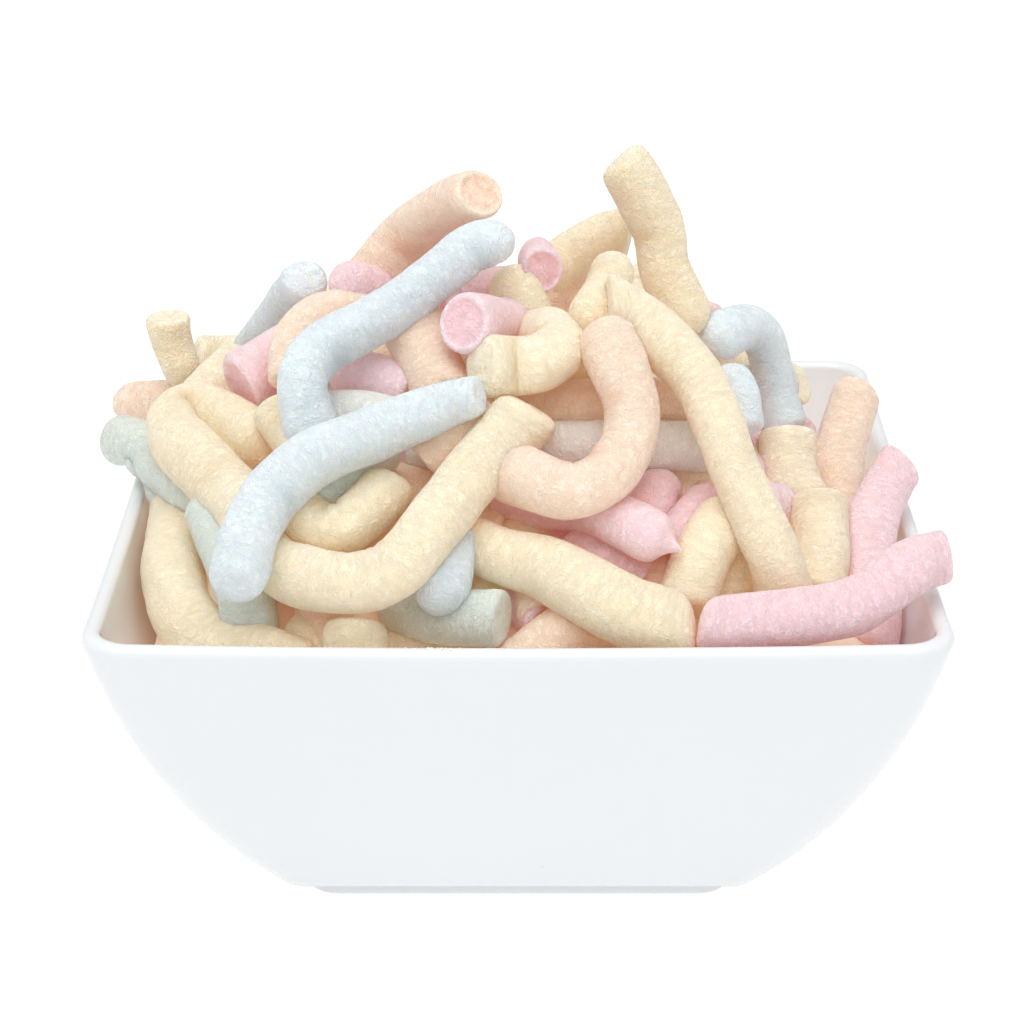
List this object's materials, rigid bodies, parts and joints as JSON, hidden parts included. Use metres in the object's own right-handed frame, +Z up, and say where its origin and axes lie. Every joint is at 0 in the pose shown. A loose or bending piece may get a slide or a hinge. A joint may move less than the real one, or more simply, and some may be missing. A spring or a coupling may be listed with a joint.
{
  "type": "bowl of freeze-dried candy",
  "caption": "Square white porcelain bowl with curved flaring sides, heaped with soft pastel freeze-dried candy ropes.",
  "frame": {"origin": "middle of the foot's underside, on the surface the bowl stands on", "axes": "+Z up, +X to the right and +Y to the back as the bowl is seen from its front"},
  "size_m": [0.1469, 0.1398, 0.1219],
  "materials": {
    "porcelain": "gloss",
    "candy": "matte, powdery"
  },
  "bodies": {
    "root": {"bowl": "porcelain", "candy_heap": "candy"}
  },
  "joints": []
}
